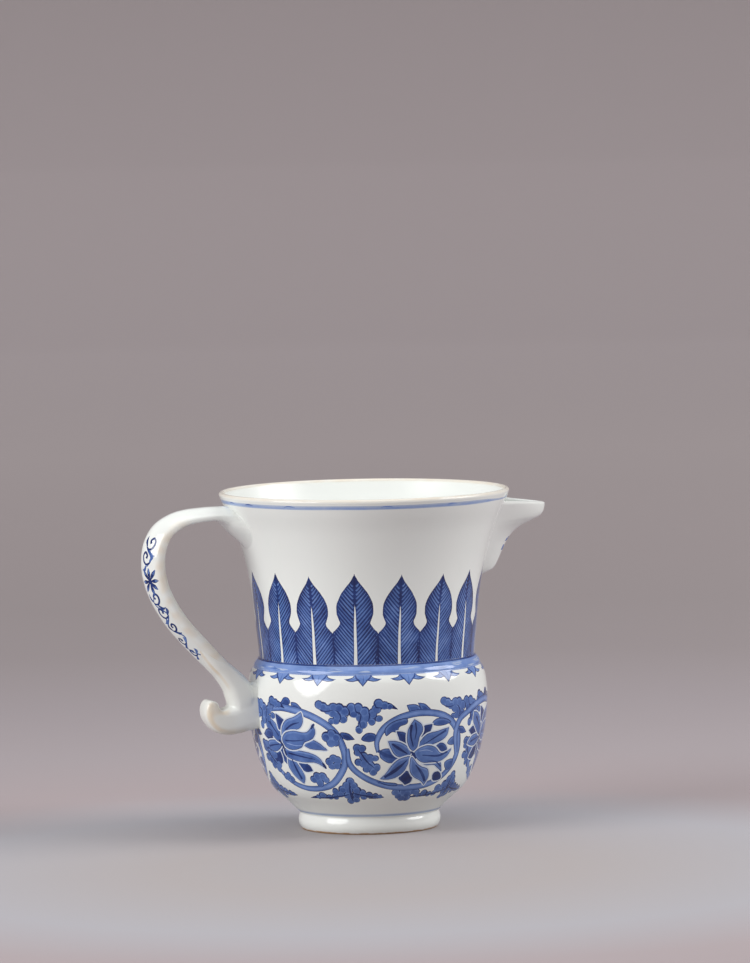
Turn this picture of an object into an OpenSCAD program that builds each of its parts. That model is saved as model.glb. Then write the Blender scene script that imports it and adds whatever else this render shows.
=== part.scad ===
// Porcelain cream jug: a bell-mouthed neck luted to a round bowl on a turned foot
// ring, with a beak spout and a strap handle that ends in a kicked-out curl.
// Each separately thrown, cast or pulled piece of clay is its own module, and so is
// each layer of slip (the lute) that bonds two of them.
// The axis of the pot is Z, the foot stands on z = 0, the spout points along +X and
// the handle along -X. All sizes are in millimetres.

/* [Body] */
// Radius of the rim
rim_r = 45; // [43:0.5:47]
// Height of the rim above the table
jug_h = 105; // [103:0.5:107]
// Largest radius of the bowl
belly_r = 37.3; // [36.3:0.5:38.8]
// Radius of the neck just above the waist
waist_r = 33.4; // [33:0.2:34]
// Thickness of the thrown wall
wall = 2.4; // [2:0.1:2.8]
// Thickness of the lip
lip_t = 1.8; // [1.5:0.1:2]

/* [Foot] */
// Radius of the foot ring where it stands
foot_r = 21; // [20:0.5:22]
// Height of the foot ring up to the slip
foot_h = 4.8; // [4.4:0.2:5.2]

/* [Spout] */
// How far the tip of the beak is from the axis
beak_x = 59.2; // [57:0.2:62]
// Thickness of the beak's wall
beak_wall = 2; // [1.6:0.1:2.2]
// Diameter of one strainer hole behind the beak
strainer_d = 3.2; // [2:0.2:3.6]

/* [Handle] */
// Width of the strap
strap_w = 13; // [11:0.5:14]
// Thickness of the strap at its middle line
strap_t = 6; // [5.4:0.1:6.4]
// Width of the curl at the foot of the handle
curl_w = 10; // [9:0.5:11]

/* [Joints] */
// Thickness of the slip in each luted joint
slip_t = 0.4; // [0.3:0.1:0.6]
// Height of the spigot of the bowl inside the neck
spigot_h = 3.2; // [2:0.2:4]

/* [Hidden] */
$fn = 96;

clay = "whitesmoke";
slip = "ghostwhite";
cobalt = "royalblue";
curve_steps = 4;

// Joint at the waist: the neck stands on a ledge round the spigot of the bowl.
ledge_z = 51;
ledge_r = 35.2;
spigot_r = 31.6;
spigot_bore_r = 30.7;
rebate_r = spigot_r + slip_t;
spigot_top = ledge_z + spigot_h;
rebate_top = spigot_top + slip_t;
neck_foot_z = ledge_z + slip_t;

// Joint at the foot: the ring fits round a shallow boss turned under the bowl.
seat_z = foot_h + slip_t;
boss_r = 17.2;
boss_z = 4.2;
seat_r = 21.6;
ring_bore_top = boss_r + slip_t;
floor_t = 3.2;

// ---- Curves -------------------------------------------------------------------

// One point of a Catmull-Rom curve, t from 0 to 1 between b and c
function curve_at(a, b, c, d, t) =
    0.5 * (2 * b + (c - a) * t + (2 * a - 5 * b + 4 * c - d) * t * t
    + (3 * b - a - 3 * c + d) * t * t * t);

// A smooth line through the knots, with the given number of steps to each span
function smooth_line(knots, steps) =
    let (
        last = len(knots) - 1,
        padded = concat([2 * knots[0] - knots[1]], knots, [2 * knots[last] - knots[last - 1]])
    )
    [
        for (i = [0 : last - 1])
            for (s = [0 : steps - 1])
                curve_at(padded[i], padded[i + 1], padded[i + 2], padded[i + 3], s / steps),
        knots[last],
    ];

// Unit direction along a line of 2-D points at its point i
function heading(line, i) =
    let (
        a = line[max(i - 1, 0)],
        b = line[min(i + 1, len(line) - 1)]
    )
    (b - a) / norm(b - a);

// Unit direction square to a line at its point i; inwards for a line that goes up
function inwards(line, i) = [-heading(line, i).y, heading(line, i).x];

// The same line moved inwards by d
function inset_line(line, d) = [for (i = [0 : len(line) - 1]) line[i] + d * inwards(line, i)];

function reversed(line) = [for (i = [len(line) - 1 : -1 : 0]) line[i]];

// Points of a half circle from a to b, bulging to the right of the way from a to b
function half_round(a, b, steps) =
    let (
        mid = (a + b) / 2,
        r = norm(b - a) / 2,
        start = atan2(a.y - mid.y, a.x - mid.x)
    )
    [for (s = [1 : steps - 1]) mid + r * [cos(start + 180 * s / steps), sin(start + 180 * s / steps)]];

// A skin over rings of points that all have the same count, closed at both ends
module skin(rings) {
    n = len(rings[0]);
    rows = len(rings);
    sides = [
        for (r = [0 : rows - 2])
            for (i = [0 : n - 1])
                let (j = (i + 1) % n)
                each [
                    [r * n + i, (r + 1) * n + i, r * n + j],
                    [r * n + j, (r + 1) * n + i, (r + 1) * n + j],
                ],
    ];
    first_cap = [for (i = [0 : n - 1]) i];
    last_cap = [for (i = [n - 1 : -1 : 0]) (rows - 1) * n + i];
    polyhedron([for (ring = rings) each ring], concat([first_cap], sides, [last_cap]), convexity = 6);
}

// ---- Outlines of the thrown pieces, as radius and height -----------------------

neck_knots = [
    [waist_r, neck_foot_z],
    [waist_r + 0.2, 56],
    [waist_r + 1, 64],
    [waist_r + 2.1, 74.5],
    [waist_r + 4.1, jug_h - 20.5],
    [rim_r - 4.5, jug_h - 11],
    [rim_r - 1.5, jug_h - 4.5],
    [rim_r, jug_h - lip_t / 2],
];
neck_outside = smooth_line(neck_knots, curve_steps);
neck_last = len(neck_outside) - 1;
neck_foot_wall = wall + 0.3;
// The wall thins evenly from its foot to the lip; the first points of its inside
// are left out, because the joint with the bowl takes their place
neck_inside_from = 6;
neck_inside = [
    for (i = [neck_inside_from : neck_last])
        let (t = neck_foot_wall + (lip_t - neck_foot_wall) * i / neck_last)
        neck_outside[i] + t * inwards(neck_outside, i),
];
lip_steps = 6;

bowl_knots = [
    [seat_r, seat_z],
    [foot_r + 4.4, 9],
    [belly_r - 7.1, 13.6],
    [belly_r - 3.5, 21],
    [belly_r - 1.3, 29],
    [belly_r - 0.2, 37],
    [belly_r, 43],
    [belly_r - 0.8, 48.6],
    [ledge_r, ledge_z],
];
bowl_outside = smooth_line(bowl_knots, curve_steps);
floor_z = boss_z + floor_t;
// The inside of the wall, between where it runs into the floor and into the spigot
bowl_inside = [
    for (p = inset_line(bowl_outside, wall)) if (p.y > floor_z + 1.5 && p.y < ledge_z - 4) p,
];

// ---- Foot ----------------------------------------------------------------------

module foot_ring() {
    color(clay)
        rotate_extrude()
            polygon([
                [foot_r - 1.7, 0],
                [foot_r - 0.2, 0],
                [foot_r + 0.3, 0.5],
                [foot_r + 0.9, 1.6],
                [foot_r + 1.1, 2.8],
                [foot_r + 0.9, 4],
                [seat_r, foot_h],
                [ring_bore_top, foot_h],
                [ring_bore_top + 0.5, 2],
                [foot_r - 2.3, 0.5],
            ]);
}

// Slip round the boss and on top of the ring
module foot_lute() {
    color(slip)
        rotate_extrude()
            polygon([
                [boss_r, boss_z],
                [ring_bore_top, boss_z],
                [ring_bore_top, foot_h],
                [seat_r, foot_h],
                [seat_r, seat_z],
                [boss_r, seat_z],
            ]);
}

// ---- Bowl and neck -------------------------------------------------------------

module bowl() {
    color(cobalt)
        rotate_extrude()
            polygon(concat(
                [[0, boss_z], [boss_r, boss_z], [boss_r, seat_z]],
                bowl_outside,
                [[spigot_r, ledge_z], [spigot_r, spigot_top], [spigot_bore_r, spigot_top]],
                [[spigot_bore_r, ledge_z - 0.6]],
                reversed(bowl_inside),
                [[seat_r - 5, floor_z + 0.3], [seat_r - 9, floor_z], [0, floor_z]]
            ));
}

// Slip between ledge, spigot and neck, wiped smooth outside as a low ridge
module waist_lute() {
    bead_low = [ledge_r, ledge_z];
    bead_top = neck_outside[2];
    color(cobalt)
        rotate_extrude()
            polygon(concat(
                [[spigot_r, ledge_z], bead_low],
                [[ledge_r - 0.05, ledge_z + 0.8], [ledge_r - 0.4, ledge_z + 1.5], [ledge_r - 1.1, ledge_z + 2.2]],
                [bead_top, neck_outside[1], neck_outside[0]],
                [[rebate_r, neck_foot_z], [rebate_r, rebate_top], [spigot_bore_r, rebate_top]],
                [[spigot_bore_r, spigot_top], [spigot_r, spigot_top]]
            ));
}

// The hollow bell of the neck without its strainer holes
module neck_shell() {
    lip_inside = neck_inside[len(neck_inside) - 1];
    rotate_extrude()
        polygon(concat(
            neck_outside,
            half_round(neck_outside[neck_last], lip_inside, lip_steps),
            reversed(neck_inside),
            [[spigot_bore_r, rebate_top], [rebate_r, rebate_top], [rebate_r, neck_foot_z]]
        ));
}

// The strainer: the height of each row and how many holes are in it, how far apart
// they are round the neck in degrees, and where the drill starts inside the neck
strainer_rows = [[86.5, 3], [91, 4], [95.5, 3]];
strainer_step = 7.5;
strainer_from_r = 30;
strainer_run = 20;

module neck() {
    color(clay)
        difference() {
            neck_shell();
            for (row = strainer_rows)
                for (i = [0 : row[1] - 1])
                    rotate([0, 0, strainer_step * (i - (row[1] - 1) / 2)])
                        translate([strainer_from_r, 0, row[0]])
                            rotate([0, 90, 0])
                                cylinder(d = strainer_d, h = strainer_run);
        }
}

// The neck as a solid with no hollow, grown outwards by the given amount
module neck_core(grow) {
    rotate_extrude()
        polygon(concat(
            [[0, neck_foot_z]],
            grow > 0 ? inset_line(neck_outside, -grow) : neck_outside,
            [[0, jug_h - lip_t / 2]]
        ));
}

// The bowl as a solid with no hollow
module bowl_core() {
    rotate_extrude() polygon(concat([[0, seat_z]], bowl_outside, [[0, ledge_z]]));
}

// ---- Spout ---------------------------------------------------------------------

// The keel of the beak, as distance from the axis and height, from heel to tip
keel_knots = [
    [beak_x - 20, 77.8],
    [beak_x - 17.4, 79],
    [beak_x - 15.9, 81.2],
    [beak_x - 14.2, 84.7],
    [beak_x - 12.4, 88],
    [beak_x - 10.2, 90.5],
    [beak_x - 7.6, 92.2],
    [beak_x - 4.4, 93.6],
    [beak_x - 1.3, 95.1],
    [beak_x, 97.6],
    [beak_x - 0.4, 101.5],
];
keel = smooth_line(keel_knots, 2);
// The top of the beak starts at this height by the neck and drops by this angle
beak_top_z = 100.9;
beak_drop = 6;
beak_cut_h = 20;
// Half the angle round the neck that the beak covers, at its heel and at its top
mouth_angle_low = 8;
mouth_angle_high = 31;
mouth_widening = 0.65;
nose_r = 2.6;
beak_points = 9;
// How far the sides of the beak are pushed into the neck before the neck is cut away
beak_bite = 0.6;
// The back of each level outline: how far out it is and its share of the mouth's width
beak_back_x = 28;
beak_back_share = 0.8;
groove_r = 1.5;
groove_run = 14;
// How far behind the tip the groove starts and how far its middle is below the top
groove_back = 8;
groove_drop = 0.6;

// Half the angle round the neck that the beak covers at height z
function mouth_angle(z) =
    let (t = (z - keel_knots[0].y) / (beak_top_z - keel_knots[0].y))
    mouth_angle_low + (mouth_angle_high - mouth_angle_low) * pow(max(t, 0), mouth_widening);

// Radius of the neck at height z, between the points of its outline
function neck_radius(z) = lookup(z, [for (p = neck_outside) [p.y, p.x]]);

// Half of one level outline of the beak, from the keel round to the neck
function beak_half(keel_x, z, inset) =
    let (
        r = neck_radius(min(z, jug_h - lip_t)) - beak_bite,
        a = mouth_angle(z),
        side = [r * cos(a), r * sin(a)],
        run = keel_x - side.x,
        nose = [keel_x, 0],
        nose_pull = nose + [0, nose_r + 0.08 * run],
        side_pull = side + 0.5 * run * [sin(a + 12), -cos(a + 12)]
    )
    [
        for (i = [0 : beak_points])
            let (
                t = i / beak_points,
                p = pow(1 - t, 3) * nose + 3 * pow(1 - t, 2) * t * nose_pull
                    + 3 * (1 - t) * t * t * side_pull + pow(t, 3) * side
            )
            [p.x, max(p.y - inset * min(1, 3 * t), 0.02 * i + 0.05)],
    ];

// One closed level outline, with its back inside the neck
function beak_ring(keel_x, z, inset) =
    let (
        half = beak_half(keel_x, z, inset),
        back_y = half[beak_points].y * beak_back_share
    )
    concat(
        [[beak_back_x, -back_y, z]],
        [for (i = [beak_points : -1 : 1]) [half[i].x, -half[i].y, z]],
        [[keel_x, 0, z]],
        [for (i = [1 : beak_points]) [half[i].x, half[i].y, z]],
        [[beak_back_x, back_y, z]]
    );

module beak_outside() {
    difference() {
        skin([for (k = keel) beak_ring(k.x, k.y, 0)]);
        translate([keel_knots[0].x, 0, beak_top_z])
            rotate([0, beak_drop, 0])
                translate([-beak_x, -rim_r, 0])
                    cube([2 * beak_x, 2 * rim_r, beak_cut_h]);
    }
}

// The channel: the same shape drawn in by the wall, and open along its top
module beak_inside() {
    skin([for (k = keel) beak_ring(k.x - beak_wall, k.y + beak_wall, beak_wall * 1.25)]);
}

// The groove that lets the channel run out over the tip
module pouring_groove() {
    translate([beak_x - groove_back, 0, beak_top_z - groove_drop])
        rotate([0, 90 + beak_drop, 0])
            cylinder(r = groove_r, h = groove_run);
}

module spout() {
    color(clay)
        difference() {
            beak_outside();
            beak_inside();
            pouring_groove();
            neck_core(slip_t);
        }
}

module spout_lute() {
    color(slip)
        difference() {
            intersection() {
                beak_outside();
                neck_core(slip_t);
            }
            beak_inside();
            neck_core(0);
        }
}

// ---- Handle --------------------------------------------------------------------

// The strap from neck to bowl: distance from the axis, height, thickness and width
strap_knots = [
    [46.5, 99.8, strap_t * 0.7, strap_w - 0.5],
    [52, 99.7, strap_t * 0.7, strap_w - 0.3],
    [57.9, 99.1, strap_t * 0.72, strap_w],
    [62.3, 97.6, strap_t * 0.8, strap_w],
    [66.2, 94.7, strap_t * 0.9, strap_w],
    [68.5, 90.1, strap_t, strap_w],
    [69.1, 84.5, strap_t, strap_w],
    [68.2, 78.9, strap_t, strap_w],
    [65.8, 73, strap_t, strap_w],
    [61.7, 66.6, strap_t, strap_w - 0.2],
    [57.1, 61.2, strap_t, strap_w - 0.5],
    [52.3, 56.1, strap_t, strap_w - 1],
    [47.4, 51.1, strap_t, strap_w - 1.8],
    [43.8, 46.8, strap_t * 1.15, strap_w - 2.5],
];
// How far the outer face falls away at its edges, as a share of the thickness
strap_crown = 0.55;
strap_line = smooth_line(strap_knots, 3);
strap_path = [for (p = strap_line) flat_point(p)];

// The curl from the wad outwards, with its own thickness and width at each knot
curl_knots = [
    [41.2, 36.4, 9, curl_w],
    [44.5, 35.4, 8.6, curl_w],
    [47.9, 35.3, 8, curl_w],
    [50.5, 37, 5.8, curl_w - 0.6],
    [51.2, 39.4, 4, curl_w - 1.4],
    [50.9, 41.6, 2.6, curl_w - 2.4],
];
curl_line = smooth_line(curl_knots, curve_steps);
curl_path = [for (p = curl_line) flat_point(p)];

section_points = 16;
// How full the corners of a section are: 1 is an ellipse, 0 is a rectangle
side_fullness = 0.4;
edge_fullness = 0.5;
// Where the fillets run out on the pot: distance from the axis, height, and the
// width and height of the oval they run out to
upper_root = [38, 98, strap_w + 3, 9.6];
lower_root = [34, 39.6, curl_w + 0.6, 14.8];

// A flat oval across the strap: w wide along Y and t thick, with full corners; its
// outer face falls away by crown at the edges
function oval(w, t, crown) = [
    for (i = [0 : section_points - 1])
        let (
            a = 360 * (i + 0.5) / section_points,
            c = cos(a),
            s = sin(a),
            across = sign(c) * pow(abs(c), side_fullness),
            out = sign(s) * pow(abs(s), edge_fullness)
        )
        [w / 2 * across, t / 2 * out - crown * across * across * (1 + out) / 2],
];

// An oval standing across a line in the XZ plane; at is distance and height
function oval_at(section, at, along) = [
    for (q = section) [-(at.x - q.y * along.y), -q.x, at.y + q.y * along.x],
];

function flat_point(p) = [p.x, p.y];

// The rings of points round the strap and round the curl at point i of each
function strap_ring(i) =
    let (p = strap_line[i])
    oval_at(oval(p[3], p[2], p[2] * strap_crown), strap_path[i], heading(strap_path, i));

function curl_ring(i) =
    let (p = curl_line[i])
    oval_at(oval(p[3], p[2], 0), curl_path[i], heading(curl_path, i));

module handle_strap() {
    color(clay)
        skin([for (i = [0 : len(strap_line) - 1]) strap_ring(i)]);
}

module handle_curl() {
    color(clay)
        skin([for (i = [0 : len(curl_line) - 1]) curl_ring(i)]);
}

// A thin slab with the outline of a ring of points, reaching back by the given step
module slab(ring, step) {
    skin([ring, [for (p = ring) p + step]]);
}

// The upright oval inside the wall of the pot that a fillet spreads out to
module root_slab(root) {
    slab([for (q = oval(root[2], root[3], 0)) [-root[0], q.x, root[1] + q.y]], [0.2, 0, 0]);
}

// Slip and clay smoothed in between the strap and the neck
module handle_upper_lute() {
    color(slip)
        difference() {
            hull() {
                slab(strap_ring(0), [0.2, 0, 0]);
                root_slab(upper_root);
            }
            neck_core(0);
        }
}

// Everything beyond the plane in which the curl starts, up to just above the curl
module curl_side() {
    start = curl_path[0];
    along = heading(curl_path, 0);
    side = 20;
    translate([-start.x, 0, start.y])
        rotate([0, atan2(along.y, along.x), 0])
            translate([-side, -side / 2, -side])
                cube([side, side, side + curl_knots[0][2] / 2 + 0.1]);
}

// The wad of clay that joins strap and curl to the shoulder of the bowl
module handle_lower_lute() {
    color(slip)
        difference() {
            hull() {
                slab(strap_ring(len(strap_line) - 1), [0.1, 0, -0.1]);
                slab(curl_ring(0), [0.1, 0, 0]);
                root_slab(lower_root);
            }
            bowl_core();
            curl_side();
        }
}

// ---- Assembly ------------------------------------------------------------------

foot_ring();
foot_lute();
bowl();
waist_lute();
neck();
spout();
spout_lute();
handle_strap();
handle_curl();
handle_upper_lute();
handle_lower_lute();
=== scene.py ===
"""Looks of the porcelain cream jug: glazed pieces painted in cobalt blue.

Every piece is a closed mesh. Its painting is cut into the mesh: each brush shape is a
polygon on the flattened surface, and each face carries the strength of its cobalt.
Sizes in this file are in millimetres unless a name says otherwise.
"""

import bisect
import math
import random

import bmesh
import bpy
import numpy as np
from mathutils import Matrix, Vector, geometry, kdtree, noise


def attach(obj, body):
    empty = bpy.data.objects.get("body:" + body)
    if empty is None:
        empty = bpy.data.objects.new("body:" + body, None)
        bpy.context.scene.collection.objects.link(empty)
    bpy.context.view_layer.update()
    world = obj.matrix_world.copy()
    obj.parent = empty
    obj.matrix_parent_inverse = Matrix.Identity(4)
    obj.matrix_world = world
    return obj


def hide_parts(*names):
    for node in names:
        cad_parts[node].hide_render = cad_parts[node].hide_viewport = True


MM = 0.001

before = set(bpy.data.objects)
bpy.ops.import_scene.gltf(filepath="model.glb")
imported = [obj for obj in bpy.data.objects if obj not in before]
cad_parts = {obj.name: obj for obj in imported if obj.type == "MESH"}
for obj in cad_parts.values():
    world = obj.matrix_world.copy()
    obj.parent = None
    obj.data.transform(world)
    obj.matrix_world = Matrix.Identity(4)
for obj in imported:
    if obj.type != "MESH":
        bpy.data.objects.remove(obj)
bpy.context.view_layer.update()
hand = random.Random(11)

# How strong the cobalt is, from bare glaze to a loaded brush
WHITE = 0.0
RESERVE = 0.12
FAINT = 0.22
PALE = 0.38
LIGHT = 0.52
WASH = 0.7
DEEP = 0.82
DARK = 0.96


# ---- Curves and flat shapes -----------------------------------------------------


def curve_at(a, b, c, d, t):
    """A point of a Catmull-Rom curve, t from 0 to 1 between b and c."""
    return tuple(
        0.5 * (2 * q + (r - p) * t + (2 * p - 5 * q + 4 * r - s) * t * t
               + (3 * q - p - 3 * r + s) * t * t * t)
        for p, q, r, s in zip(a, b, c, d)
    )


def smooth_line(knots, steps):
    """A smooth open line through the knots, with so many steps to a span."""
    first = tuple(2 * a - b for a, b in zip(knots[0], knots[1]))
    last = tuple(2 * a - b for a, b in zip(knots[-1], knots[-2]))
    k = [first, *knots, last]
    line = []
    for i in range(len(knots) - 1):
        line += [curve_at(*k[i:i + 4], s / steps) for s in range(steps)]
    return line + [tuple(knots[-1])]


def outline(points, steps=4):
    """A smooth closed shape through the points. A point given twice is a sharp tip."""
    n = len(points)
    shape = []
    for i in range(n):
        a, b, c, d = (points[(i + j) % n] for j in (-1, 0, 1, 2))
        if b != c:
            shape += [curve_at(a, b, c, d, s / steps) for s in range(steps)]
    return shape


def area(shape):
    return 0.5 * sum(
        p[0] * q[1] - q[0] * p[1] for p, q in zip(shape, shape[1:] + shape[:1])
    )


def grown(shape, by):
    """The shape with its edge moved outwards, or inwards where by is negative."""
    side = 1 if area(shape) > 0 else -1
    n = len(shape)
    out = []
    for i in range(n):
        p, q, r = shape[i - 1], shape[i], shape[(i + 1) % n]
        dx = r[0] - p[0]
        dy = r[1] - p[1]
        size = math.hypot(dx, dy) or 1
        out.append((q[0] + side * by * dy / size, q[1] - side * by * dx / size))
    return out


def ribbon(points, widths, steps=5):
    """A brush stroke along a smooth line, with its width given at each point."""
    line = smooth_line([(*p, w) for p, w in zip(points, widths)], steps)
    left = []
    right = []
    for i, (x, y, w) in enumerate(line):
        ax, ay, _ = line[max(i - 1, 0)]
        bx, by, _ = line[min(i + 1, len(line) - 1)]
        size = math.hypot(bx - ax, by - ay) or 1
        nx = -(by - ay) / size * w / 2
        ny = (bx - ax) / size * w / 2
        left.append((x + nx, y + ny))
        right.append((x - nx, y - ny))
    return left + right[::-1]


def band(low, high, period):
    """A stripe that runs all the way round."""
    steps = 144
    us = [period * i / steps for i in range(steps + 1)]
    return [(u, low) for u in us] + [(u, high) for u in us[::-1]]


def moved(shape, dx, dy=0.0):
    return [(x + dx, y + dy) for x, y in shape]


def shaky(shape, amount):
    """The shape as a hand would draw it again."""
    dx = hand.uniform(-amount, amount)
    dy = hand.uniform(-amount, amount)
    return [
        (x + dx + hand.uniform(-amount, amount) * 0.3, y + dy + hand.uniform(-amount, amount) * 0.3)
        for x, y in shape
    ]


# ---- Painted surfaces -----------------------------------------------------------


# Points of a painting closer than this are one point
MERGE = 0.008


def inside_shape(shape, x, y):
    """Which of the points (x, y) the shape winds round."""
    turns = np.zeros(len(x), int)
    for (ax, ay), (bx, by) in zip(shape, np.roll(shape, -1, axis=0)):
        left_of = (bx - ax) * (y - ay) - (x - ax) * (by - ay)
        turns += (ay <= y) & (by > y) & (left_of > 0)
        turns -= (ay > y) & (by <= y) & (left_of < 0)
    return turns != 0


def painted_skin(place, period, low, high, columns, layers, step=1.5):
    """A tube-shaped surface with its painting cut in.

    place(u, v) gives a point and its outward normal. The painting is a list of
    (ink, shape), the later ones on top. Returns points, normals, faces and inks.
    """
    rows = max(2, round((high - low) / step))
    across = round(period / step)
    coords = [(period * i / columns, v) for i in range(columns + 1) for v in (low, high)]
    for j in range(1, rows):
        v = low + (high - low) * j / rows
        shift = 0.5 if j % 2 else 0.0
        coords += [(0.0, v), (period, v)]
        coords += [(period * (i + 0.25 + shift) / across, v) for i in range(across)]
    shapes = [(WHITE, np.array([(0.0, low), (period, low), (period, high), (0.0, high)]))]
    for ink, shape in layers:
        flat = np.array(shape)
        flat[:, 1] = np.clip(flat[:, 1], low + 0.02, high - 0.02)
        for turn in (-2, -1, 0, 1, 2):
            shifted = flat + (turn * period, 0.0)
            if shifted[:, 0].max() > 0 and shifted[:, 0].min() < period:
                shapes.append((ink, shifted))
    edges = []
    for _, shape in shapes:
        n = len(shape)
        first = len(coords)
        edges += [(first + i, first + (i + 1) % n) for i in range(n)]
        coords += [tuple(p) for p in shape]
    made = geometry.delaunay_2d_cdt([Vector(c) for c in coords], edges, [], 0, MERGE, False)
    flat = np.array([tuple(p) for p in made[0]])
    tris = np.array(made[2])
    x, y = flat[tris].mean(axis=1).T
    tris = tris[(x > 0) & (x < period) & (y > low) & (y < high)]
    x, y = flat[tris].mean(axis=1).T
    strengths = np.zeros(len(tris))
    for ink, shape in shapes:
        near = np.nonzero(
            (x > shape[:, 0].min()) & (x < shape[:, 0].max())
            & (y > shape[:, 1].min()) & (y < shape[:, 1].max())
        )[0]
        strengths[near[inside_shape(shape, x[near], y[near])]] = ink
    placed = {int(i): place(*flat[i]) for i in np.unique(tris)}
    number = {i: k for k, i in enumerate(placed)}
    points = [point for point, _ in placed.values()]
    normals = [normal for _, normal in placed.values()]
    faces = [tuple(number[int(i)] for i in tri) for tri in tris]
    return points, normals, faces, strengths.tolist()


def arc_table(line):
    """Distance along a line at each of its points."""
    total = [0.0]
    for p, q in zip(line, line[1:]):
        total.append(total[-1] + math.dist(p[:2], q[:2]))
    return total


def along(line, table, s):
    """The point of a line at distance s, and the direction there."""
    s = min(max(s, 0.0), table[-1])
    low = min(bisect.bisect_right(table, s), len(table) - 1) - 1
    t = (s - table[low]) / (table[low + 1] - table[low])
    at = tuple(a + (b - a) * t for a, b in zip(line[low], line[low + 1]))

    def direction(i):
        a = line[max(i - 1, 0)]
        b = line[min(i + 1, len(line) - 1)]
        size = math.dist(a[:2], b[:2])
        return ((b[0] - a[0]) / size, (b[1] - a[1]) / size)

    da = direction(low)
    db = direction(low + 1)
    return at, (da[0] + (db[0] - da[0]) * t, da[1] + (db[1] - da[1]) * t)


def build_piece(name, parts, material, nodes, warm=None):
    """One closed mesh from parts that meet edge to edge.

    A part is (points, normals or None, faces, inks or one ink). warm(point) gives how
    cream-coloured or bare the clay is there, from 0 to 1.
    """
    bm = bmesh.new()
    ink_layer = bm.faces.layers.float.new("ink")
    known = []
    for points, normals, faces, inks in parts:
        verts = [bm.verts.new(Vector(p) * MM) for p in points]
        if normals:
            known += [(Vector(p) * MM, n) for p, n in zip(points, normals)]
        for i, f in enumerate(faces):
            if len(set(f)) < 3:
                continue
            face = bm.faces.new([verts[j] for j in f])
            face[ink_layer] = inks[i] if isinstance(inks, list) else inks
            face.smooth = True
    bmesh.ops.remove_doubles(bm, verts=bm.verts, dist=MERGE * MM * 0.55)
    bmesh.ops.delete(bm, geom=[e for e in bm.edges if e.is_wire], context="EDGES")
    bmesh.ops.recalc_face_normals(bm, faces=bm.faces)
    bm.normal_update()
    open_edges = sum(1 for e in bm.edges if not e.is_manifold)
    mesh = bpy.data.meshes.new(name)
    bm.to_mesh(mesh)
    bm.free()
    if warm:
        layer = mesh.attributes.new("warm", "FLOAT", "POINT")
        layer.data.foreach_set("value", [warm(v.co / MM) for v in mesh.vertices])
    if known:
        tree = kdtree.KDTree(len(known))
        for i, (p, _) in enumerate(known):
            tree.insert(p, i)
        tree.balance()
        normals = []
        for v in mesh.vertices:
            _, i, gap = tree.find(v.co)
            normals.append(known[i][1] if gap < 5e-6 else v.normal)
        mesh.normals_split_custom_set_from_vertices(normals)
    mesh.materials.append(material)
    obj = bpy.data.objects.new(name, mesh)
    bpy.context.scene.collection.objects.link(obj)
    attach(obj, "root")
    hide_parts(*nodes)
    print(f"{name}: {len(mesh.polygons)} faces, {open_edges} open edges")
    return obj


# ---- Thrown pieces --------------------------------------------------------------

# The middle of the front of the painting is turned this far round from the spout
FRONT_ANGLE = math.radians(-108)
COLUMNS = 180


def turned_place(profile, flat_r, v_zero):
    """place(u, v) for a turned surface; flat_r is the radius that u is measured at."""
    table = arc_table(profile)

    def place(u, v):
        (r, z), (dr, dz) = along(profile, table, v + v_zero)
        a = FRONT_ANGLE + u / flat_r
        out = Vector((math.cos(a), math.sin(a), 0))
        normal = (out * dz - Vector((0, 0, dr))).normalized()
        return out * r + Vector((0, 0, z)), normal

    return place, table[-1]


def turned_grid(profile):
    """A plain turned surface through the profile points, in the columns of the skin."""
    points = []
    for r, z in profile:
        for i in range(COLUMNS):
            a = FRONT_ANGLE + 2 * math.pi * i / COLUMNS
            points.append(Vector((r * math.cos(a), r * math.sin(a), z)))
    faces = []
    for j in range(len(profile) - 1):
        for i in range(COLUMNS):
            k = (i + 1) % COLUMNS
            here = j * COLUMNS
            above = here + COLUMNS
            if profile[j][0] == 0:
                faces.append((here, above + k, above + i))
            elif profile[j + 1][0] == 0:
                faces.append((here + i, here + k, above))
            else:
                faces.append((here + i, here + k, above + k, above + i))
    return points, None, faces, WHITE


def inset_line(line, distances):
    """A profile moved towards the axis, by its own distance at each point."""
    out = []
    for i, p in enumerate(line):
        a = line[max(i - 1, 0)]
        b = line[min(i + 1, len(line) - 1)]
        size = math.dist(a, b)
        d = distances[i]
        out.append((p[0] - d * (b[1] - a[1]) / size, p[1] + d * (b[0] - a[0]) / size))
    return out


def arc_between(a, b, steps):
    """Points strictly between a and b on a half circle on the left side from b to a."""
    mid = ((a[0] + b[0]) / 2, (a[1] + b[1]) / 2)
    ux = (a[0] - mid[0], a[1] - mid[1])
    uy = (-ux[1], ux[0])
    return [
        (mid[0] + ux[0] * math.cos(t) + uy[0] * math.sin(t),
         mid[1] + ux[1] * math.cos(t) + uy[1] * math.sin(t))
        for t in (math.pi * i / steps for i in range(1, steps))
    ]


# The joints between the thrown pieces: radii from the axis and heights from the table.
# The neck's rebate fits over the bowl's spigot, and the foot ring goes round the boss.
BORE_R = 30.7
SPIGOT_R = 31.6
REBATE_R = 32
LEDGE_Z = 51
NECK_FOOT_Z = 51.4
SPIGOT_TOP_Z = 54.2
REBATE_TOP_Z = 54.6
BOSS_R = 17.2
SEAT_R = 21.6
BOSS_Z = 4.2
SEAT_Z = 5.2

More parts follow.
